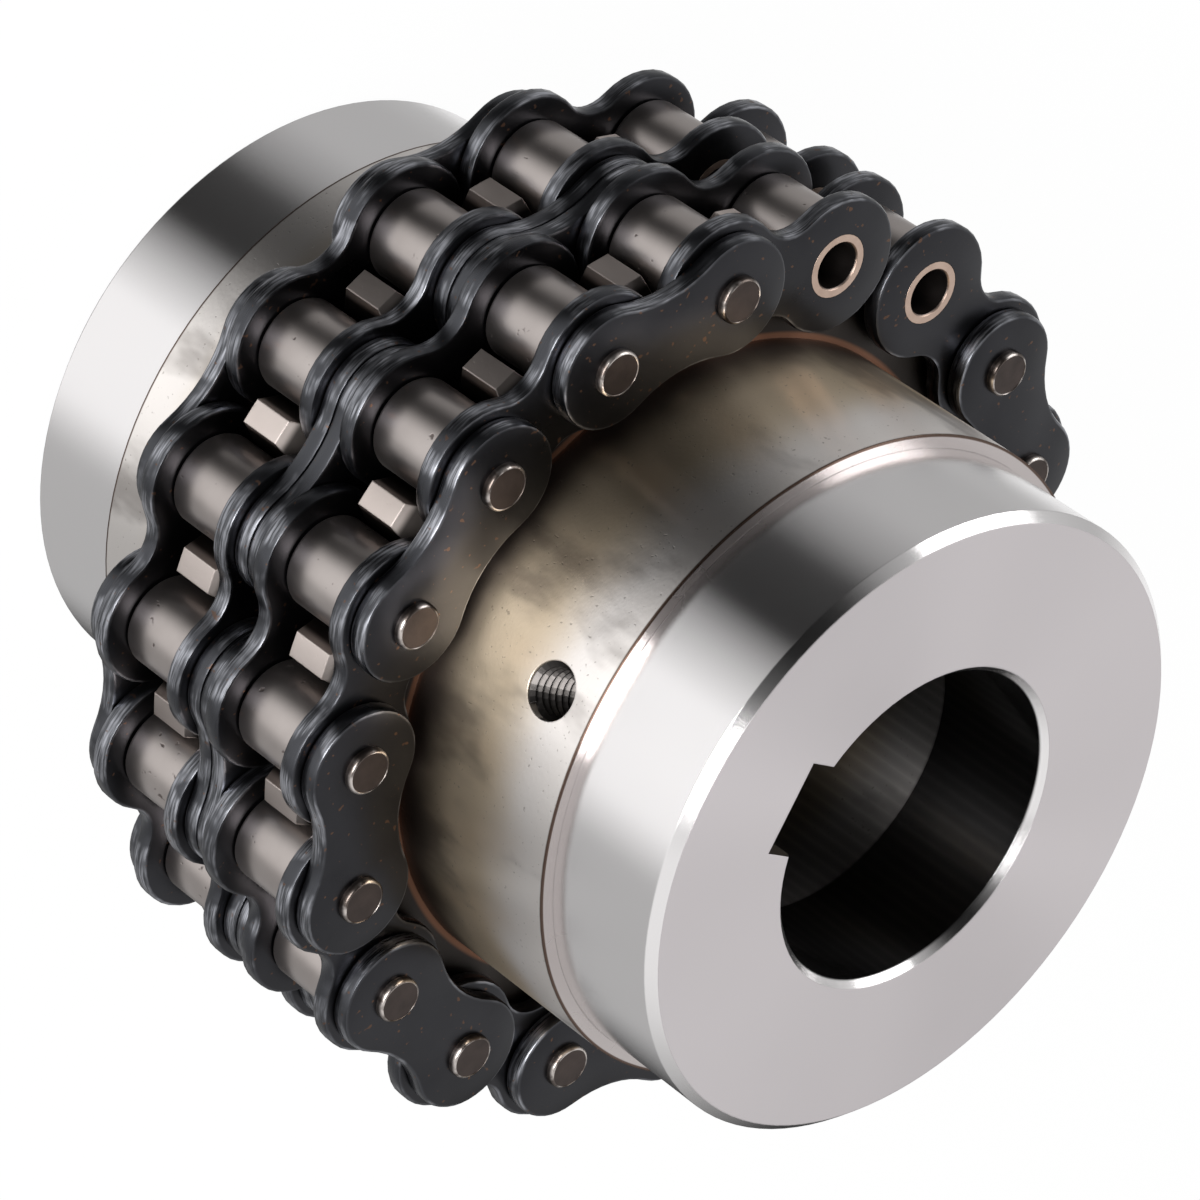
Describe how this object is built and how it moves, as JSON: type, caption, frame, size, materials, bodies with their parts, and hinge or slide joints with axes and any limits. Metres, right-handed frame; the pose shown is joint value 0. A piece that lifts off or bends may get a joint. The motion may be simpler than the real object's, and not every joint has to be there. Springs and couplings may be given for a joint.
{
  "type": "roller chain coupling",
  "caption": "Shaft coupling of two sprocket hubs joined by a wrapped loop of duplex roller chain, shown with its connecting link open.",
  "frame": {"origin": "centre of the lower hub's end face, on the shaft axis", "axes": "+Z along the shaft axis from the lower hub to the upper hub; +X through the pin numbered 0 of the chain"},
  "size_m": [0.1066, 0.1052, 0.0997],
  "materials": {
    "hub_steel": "turned and polished, heat tinted near the teeth",
    "chain_steel": "blued",
    "roller_steel": "satin"
  },
  "bodies": {
    "lower_hub": {"lower_hub": "hub_steel"},
    "upper_hub": {"upper_hub": "hub_steel"},
    "chain": {"pin_link_06": "chain_steel", "pin_link_08": "chain_steel", "pin_link_10": "chain_steel", "pin_link_12": "chain_steel", "pin_link_14": "chain_steel", "pin_link_16": "chain_steel", "roller_link_05": "chain_steel", "roller_link_07": "chain_steel", "roller_link_09": "chain_steel", "roller_link_11": "chain_steel", "roller_link_13": "chain_steel", "roller_link_15": "chain_steel", "roller_link_17": "chain_steel"},
    "pin_link_00": {"pin_link_00": "chain_steel"},
    "roller_link_01": {"roller_link_01": "chain_steel"},
    "pin_link_04": {"pin_link_04": "chain_steel"},
    "roller_link_03": {"roller_link_03": "chain_steel"},
    "lower_roller_00": {"lower_roller_00": "roller_steel"},
    "upper_roller_00": {"upper_roller_00": "roller_steel"},
    "lower_roller_01": {"lower_roller_01": "roller_steel"},
    "upper_roller_01": {"upper_roller_01": "roller_steel"},
    "lower_roller_02": {"lower_roller_02": "roller_steel"},
    "upper_roller_02": {"upper_roller_02": "roller_steel"},
    "lower_roller_03": {"lower_roller_03": "roller_steel"},
    "upper_roller_03": {"upper_roller_03": "roller_steel"},
    "lower_roller_04": {"lower_roller_04": "roller_steel"},
    "upper_roller_04": {"upper_roller_04": "roller_steel"},
    "lower_roller_05": {"lower_roller_05": "roller_steel"},
    "upper_roller_05": {"upper_roller_05": "roller_steel"},
    "lower_roller_06": {"lower_roller_06": "roller_steel"},
    "upper_roller_06": {"upper_roller_06": "roller_steel"},
    "lower_roller_07": {"lower_roller_07": "roller_steel"},
    "upper_roller_07": {"upper_roller_07": "roller_steel"},
    "lower_roller_08": {"lower_roller_08": "roller_steel"},
    "upper_roller_08": {"upper_roller_08": "roller_steel"},
    "lower_roller_09": {"lower_roller_09": "roller_steel"},
    "upper_roller_09": {"upper_roller_09": "roller_steel"},
    "lower_roller_10": {"lower_roller_10": "roller_steel"},
    "upper_roller_10": {"upper_roller_10": "roller_steel"},
    "lower_roller_11": {"lower_roller_11": "roller_steel"},
    "upper_roller_11": {"upper_roller_11": "roller_steel"},
    "lower_roller_12": {"lower_roller_12": "roller_steel"},
    "upper_roller_12": {"upper_roller_12": "roller_steel"},
    "lower_roller_13": {"lower_roller_13": "roller_steel"},
    "upper_roller_13": {"upper_roller_13": "roller_steel"},
    "lower_roller_14": {"lower_roller_14": "roller_steel"},
    "upper_roller_14": {"upper_roller_14": "roller_steel"},
    "lower_roller_15": {"lower_roller_15": "roller_steel"},
    "upper_roller_15": {"upper_roller_15": "roller_steel"},
    "lower_roller_16": {"lower_roller_16": "roller_steel"},
    "upper_roller_16": {"upper_roller_16": "roller_steel"},
    "lower_roller_17": {"lower_roller_17": "roller_steel"},
    "upper_roller_17": {"upper_roller_17": "roller_steel"}
  },
  "joints": [
    {"name": "chain_on_lower_hub", "type": "hinge", "parent": "lower_hub", "child": "chain", "pos_m": [0, 0, 0.04985], "axis": [0, 0, 1], "range_deg": [-0.35, 0.35]},
    {"name": "upper_hub_in_chain", "type": "hinge", "parent": "chain", "child": "upper_hub", "pos_m": [0, 0, 0.04985], "axis": [0, 0, 1], "range_deg": [-0.35, 0.35]},
    {"name": "end_a_pin_link", "type": "hinge", "parent": "chain", "child": "pin_link_00", "pos_m": [0.04571, 0, 0.04985], "axis": [0, 0, -1], "range_deg": [0, 40]},
    {"name": "end_a_roller_link", "type": "hinge", "parent": "pin_link_00", "child": "roller_link_01", "pos_m": [0.04295, 0.01563, 0.04985], "axis": [0, 0, -1], "range_deg": [0, 60]},
    {"name": "end_b_pin_link", "type": "hinge", "parent": "chain", "child": "pin_link_04", "pos_m": [-0.00794, 0.04502, 0.04985], "axis": [0, 0, 1], "range_deg": [0, 40]},
    {"name": "end_b_roller_link", "type": "hinge", "parent": "pin_link_04", "child": "roller_link_03", "pos_m": [0.00794, 0.04502, 0.04985], "axis": [0, 0, 1], "range_deg": [0, 60]},
    {"name": "lower_roller_00_spin", "type": "hinge", "parent": "chain", "child": "lower_roller_00", "pos_m": [0.04571, 0, 0.04079], "axis": [0, 0, 1], "continuous": true},
    {"name": "upper_roller_00_spin", "type": "hinge", "parent": "chain", "child": "upper_roller_00", "pos_m": [0.04571, 0, 0.0589], "axis": [0, 0, 1], "continuous": true},
    {"name": "lower_roller_01_spin", "type": "hinge", "parent": "roller_link_01", "child": "lower_roller_01", "pos_m": [0.04295, 0.01563, 0.04079], "axis": [0, 0, 1], "continuous": true},
    {"name": "upper_roller_01_spin", "type": "hinge", "parent": "roller_link_01", "child": "upper_roller_01", "pos_m": [0.04295, 0.01563, 0.0589], "axis": [0, 0, 1], "continuous": true},
    {"name": "lower_roller_02_spin", "type": "hinge", "parent": "roller_link_01", "child": "lower_roller_02", "pos_m": [0.03502, 0.02938, 0.04079], "axis": [0, 0, 1], "continuous": true},
    {"name": "upper_roller_02_spin", "type": "hinge", "parent": "roller_link_01", "child": "upper_roller_02", "pos_m": [0.03502, 0.02938, 0.0589], "axis": [0, 0, 1], "continuous": true},
    {"name": "lower_roller_03_spin", "type": "hinge", "parent": "roller_link_03", "child": "lower_roller_03", "pos_m": [0.02286, 0.03959, 0.04079], "axis": [0, 0, 1], "continuous": true},
    {"name": "upper_roller_03_spin", "type": "hinge", "parent": "roller_link_03", "child": "upper_roller_03", "pos_m": [0.02286, 0.03959, 0.0589], "axis": [0, 0, 1], "continuous": true},
    {"name": "lower_roller_04_spin", "type": "hinge", "parent": "roller_link_03", "child": "lower_roller_04", "pos_m": [0.00794, 0.04502, 0.04079], "axis": [0, 0, 1], "continuous": true},
    {"name": "upper_roller_04_spin", "type": "hinge", "parent": "roller_link_03", "child": "upper_roller_04", "pos_m": [0.00794, 0.04502, 0.0589], "axis": [0, 0, 1], "continuous": true},
    {"name": "lower_roller_05_spin", "type": "hinge", "parent": "chain", "child": "lower_roller_05", "pos_m": [-0.00794, 0.04502, 0.04079], "axis": [0, 0, 1], "continuous": true},
    {"name": "upper_roller_05_spin", "type": "hinge", "parent": "chain", "child": "upper_roller_05", "pos_m": [-0.00794, 0.04502, 0.0589], "axis": [0, 0, 1], "continuous": true},
    {"name": "lower_roller_06_spin", "type": "hinge", "parent": "chain", "child": "lower_roller_06", "pos_m": [-0.02286, 0.03959, 0.04079], "axis": [0, 0, 1], "continuous": true},
    {"name": "upper_roller_06_spin", "type": "hinge", "parent": "chain", "child": "upper_roller_06", "pos_m": [-0.02286, 0.03959, 0.0589], "axis": [0, 0, 1], "continuous": true},
    {"name": "lower_roller_07_spin", "type": "hinge", "parent": "chain", "child": "lower_roller_07", "pos_m": [-0.03502, 0.02938, 0.04079], "axis": [0, 0, 1], "continuous": true},
    {"name": "upper_roller_07_spin", "type": "hinge", "parent": "chain", "child": "upper_roller_07", "pos_m": [-0.03502, 0.02938, 0.0589], "axis": [0, 0, 1], "continuous": true},
    {"name": "lower_roller_08_spin", "type": "hinge", "parent": "chain", "child": "lower_roller_08", "pos_m": [-0.04295, 0.01563, 0.04079], "axis": [0, 0, 1], "continuous": true},
    {"name": "upper_roller_08_spin", "type": "hinge", "parent": "chain", "child": "upper_roller_08", "pos_m": [-0.04295, 0.01563, 0.0589], "axis": [0, 0, 1], "continuous": true},
    {"name": "lower_roller_09_spin", "type": "hinge", "parent": "chain", "child": "lower_roller_09", "pos_m": [-0.04571, 0, 0.04079], "axis": [0, 0, 1], "continuous": true},
    {"name": "upper_roller_09_spin", "type": "hinge", "parent": "chain", "child": "upper_roller_09", "pos_m": [-0.04571, 0, 0.0589], "axis": [0, 0, 1], "continuous": true},
    {"name": "lower_roller_10_spin", "type": "hinge", "parent": "chain", "child": "lower_roller_10", "pos_m": [-0.04295, -0.01563, 0.04079], "axis": [0, 0, 1], "continuous": true},
    {"name": "upper_roller_10_spin", "type": "hinge", "parent": "chain", "child": "upper_roller_10", "pos_m": [-0.04295, -0.01563, 0.0589], "axis": [0, 0, 1], "continuous": true},
    {"name": "lower_roller_11_spin", "type": "hinge", "parent": "chain", "child": "lower_roller_11", "pos_m": [-0.03502, -0.02938, 0.04079], "axis": [0, 0, 1], "continuous": true},
    {"name": "upper_roller_11_spin", "type": "hinge", "parent": "chain", "child": "upper_roller_11", "pos_m": [-0.03502, -0.02938, 0.0589], "axis": [0, 0, 1], "continuous": true},
    {"name": "lower_roller_12_spin", "type": "hinge", "parent": "chain", "child": "lower_roller_12", "pos_m": [-0.02286, -0.03959, 0.04079], "axis": [0, 0, 1], "continuous": true},
    {"name": "upper_roller_12_spin", "type": "hinge", "parent": "chain", "child": "upper_roller_12", "pos_m": [-0.02286, -0.03959, 0.0589], "axis": [0, 0, 1], "continuous": true},
    {"name": "lower_roller_13_spin", "type": "hinge", "parent": "chain", "child": "lower_roller_13", "pos_m": [-0.00794, -0.04502, 0.04079], "axis": [0, 0, 1], "continuous": true},
    {"name": "upper_roller_13_spin", "type": "hinge", "parent": "chain", "child": "upper_roller_13", "pos_m": [-0.00794, -0.04502, 0.0589], "axis": [0, 0, 1], "continuous": true},
    {"name": "lower_roller_14_spin", "type": "hinge", "parent": "chain", "child": "lower_roller_14", "pos_m": [0.00794, -0.04502, 0.04079], "axis": [0, 0, 1], "continuous": true},
    {"name": "upper_roller_14_spin", "type": "hinge", "parent": "chain", "child": "upper_roller_14", "pos_m": [0.00794, -0.04502, 0.0589], "axis": [0, 0, 1], "continuous": true},
    {"name": "lower_roller_15_spin", "type": "hinge", "parent": "chain", "child": "lower_roller_15", "pos_m": [0.02286, -0.03959, 0.04079], "axis": [0, 0, 1], "continuous": true},
    {"name": "upper_roller_15_spin", "type": "hinge", "parent": "chain", "child": "upper_roller_15", "pos_m": [0.02286, -0.03959, 0.0589], "axis": [0, 0, 1], "continuous": true},
    {"name": "lower_roller_16_spin", "type": "hinge", "parent": "chain", "child": "lower_roller_16", "pos_m": [0.03502, -0.02938, 0.04079], "axis": [0, 0, 1], "continuous": true},
    {"name": "upper_roller_16_spin", "type": "hinge", "parent": "chain", "child": "upper_roller_16", "pos_m": [0.03502, -0.02938, 0.0589], "axis": [0, 0, 1], "continuous": true},
    {"name": "lower_roller_17_spin", "type": "hinge", "parent": "chain", "child": "lower_roller_17", "pos_m": [0.04295, -0.01563, 0.04079], "axis": [0, 0, 1], "continuous": true},
    {"name": "upper_roller_17_spin", "type": "hinge", "parent": "chain", "child": "upper_roller_17", "pos_m": [0.04295, -0.01563, 0.0589], "axis": [0, 0, 1], "continuous": true}
  ]
}
